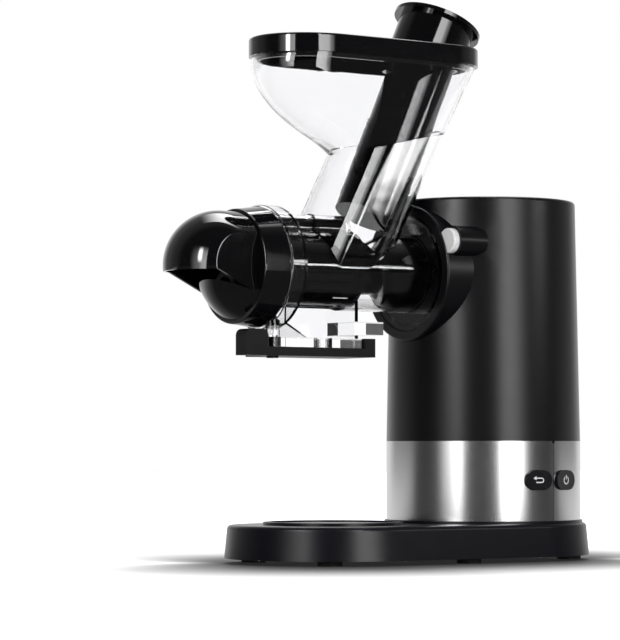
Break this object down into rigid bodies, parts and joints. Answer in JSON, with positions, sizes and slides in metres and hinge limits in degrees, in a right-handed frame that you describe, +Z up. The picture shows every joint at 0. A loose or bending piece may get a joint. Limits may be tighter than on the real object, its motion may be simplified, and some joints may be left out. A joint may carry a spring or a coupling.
{
  "type": "cold press juicer",
  "caption": "Horizontal cold press juicer: drive column on a stadium base, clear auger tube with feed hopper, tilted pusher, hooded pulp cap and juice spout with drip lever.",
  "frame": {"origin": "on the surface the feet stand on, under the middle of the whole", "axes": "+Z up, -X towards the pulp outlet, -Y towards the side with the buttons"},
  "size_m": [0.344, 0.1512, 0.3957],
  "materials": {
    "black_housing": "satin ABS",
    "base_plastic": "satin ABS",
    "steel": "brushed stainless steel",
    "clear_plastic": "clear polycarbonate",
    "gloss_black": "polished black ABS",
    "matte_black": "matt black ABS",
    "button_grey": "light grey ABS",
    "black_button": "black ABS",
    "rubber": "black rubber",
    "silicone": "silicone rubber",
    "auger_plastic": "glass filled black plastic",
    "nylon": "natural nylon",
    "zinc_steel": "zinc plated steel",
    "bronze": "sintered bronze",
    "motor_steel": "zinc plated motor can",
    "ferrite": "ferrite",
    "board": "green circuit board",
    "component": "black component case",
    "strainer_steel": "etched stainless steel",
    "white_plastic": "white acetal"
  },
  "bodies": {
    "housing": {"base_shell": "base_plastic", "bottom_cover": "matte_black", "rubber_feet": "rubber", "cover_screws": "zinc_steel", "cable_gland": "rubber", "column_shell": "black_housing", "steel_band": "steel", "switch_board": "board", "push_switches": "component", "release_spring": "zinc_steel", "gearbox_front": "nylon", "gearbox_rear": "nylon", "gearbox_screws": "zinc_steel", "gear_pins": "zinc_steel", "output_bearing": "bronze", "shaft_seal": "silicone", "motor_can": "motor_steel", "motor_magnets": "ferrite", "motor_end_cap": "component", "motor_screws": "zinc_steel", "power_board": "board", "capacitor": "component", "relay": "component", "motor_leads": "rubber"},
    "on_off": {"on_off_button": "black_button"},
    "reverse": {"reverse_button": "black_button"},
    "release": {"release_button": "button_grey"},
    "rotor": {"motor_shaft": "zinc_steel", "cooling_fan": "component"},
    "first_stage": {"first_gear": "white_plastic"},
    "second_stage": {"second_gear": "white_plastic"},
    "output": {"output_gear": "white_plastic", "drive_socket": "zinc_steel"},
    "head": {"juicing_tube": "clear_plastic", "feed_chute": "clear_plastic", "feed_hopper": "clear_plastic", "juice_spout": "clear_plastic", "lever_pin": "matte_black"},
    "drip": {"drip_lever": "matte_black", "drip_seal": "silicone"},
    "strainer": {"strainer_frame": "auger_plastic", "strainer_mesh": "strainer_steel"},
    "screw": {"auger": "auger_plastic", "auger_drive_shaft": "zinc_steel", "auger_seal": "silicone"},
    "cap": {"cap_ring": "gloss_black", "cap_hood": "gloss_black", "pulp_nozzle": "silicone", "cap_gasket": "silicone"},
    "lid": {"hopper_lid": "gloss_black"},
    "pusher": {"pusher": "gloss_black"}
  },
  "joints": [
    {"name": "on_off_press", "type": "slide", "parent": "housing", "child": "on_off", "axis": [-0.2807, 0.9598, 0], "range_m": [0, 0.0015], "stiffness_N_per_m": 900},
    {"name": "reverse_press", "type": "slide", "parent": "housing", "child": "reverse", "axis": [0.0976, 0.9952, 0], "range_m": [0, 0.0015], "stiffness_N_per_m": 900},
    {"name": "release_press", "type": "slide", "parent": "housing", "child": "release", "axis": [1, 0, 0], "range_m": [0, 0.004], "stiffness_N_per_m": 700, "deforming": ["release_spring"]},
    {"name": "motor_spin", "type": "hinge", "parent": "housing", "child": "rotor", "pos_m": [0.09645, 0, 0.0935], "axis": [1, 0, 0], "continuous": true},
    {"name": "first_gear_spin", "type": "hinge", "parent": "housing", "child": "first_stage", "pos_m": [0.09645, 0, 0.1295], "axis": [1, 0, 0], "continuous": true},
    {"name": "second_gear_spin", "type": "hinge", "parent": "housing", "child": "second_stage", "pos_m": [0.09645, 0, 0.167], "axis": [1, 0, 0], "continuous": true},
    {"name": "output_spin", "type": "hinge", "parent": "housing", "child": "output", "pos_m": [0.09645, 0, 0.203], "axis": [1, 0, 0], "continuous": true},
    {"name": "head_slide", "type": "slide", "parent": "housing", "child": "head", "axis": [-1, 0, 0], "range_m": [0, 0.06]},
    {"name": "drip_lever_swing", "type": "hinge", "parent": "head", "child": "drip", "pos_m": [-0.10205, -0.018, 0.1421], "axis": [0, 0, -1], "range_deg": [0, 75]},
    {"name": "strainer_pull", "type": "slide", "parent": "head", "child": "strainer", "axis": [-1, 0, 0], "range_m": [0, 0.16]},
    {"name": "auger_spin", "type": "hinge", "parent": "strainer", "child": "screw", "pos_m": [0.09645, 0, 0.203], "axis": [1, 0, 0], "continuous": true},
    {"name": "cap_pull", "type": "slide", "parent": "strainer", "child": "cap", "axis": [-1, 0, 0], "range_m": [0, 0.06]},
    {"name": "lid_lift", "type": "slide", "parent": "head", "child": "lid", "axis": [0.4695, 0, 0.8829], "range_m": [0, 0.08]},
    {"name": "pusher_slide", "type": "slide", "parent": "lid", "child": "pusher", "axis": [0.4147, 0, 0.91], "range_m": [0, 0.17]}
  ],
  "couplings": [
    {"joint": "output_spin", "follows": "auger_spin", "ratio": 1},
    {"joint": "second_gear_spin", "follows": "auger_spin", "ratio": -3},
    {"joint": "first_gear_spin", "follows": "auger_spin", "ratio": 12},
    {"joint": "motor_spin", "follows": "auger_spin", "ratio": -60}
  ]
}
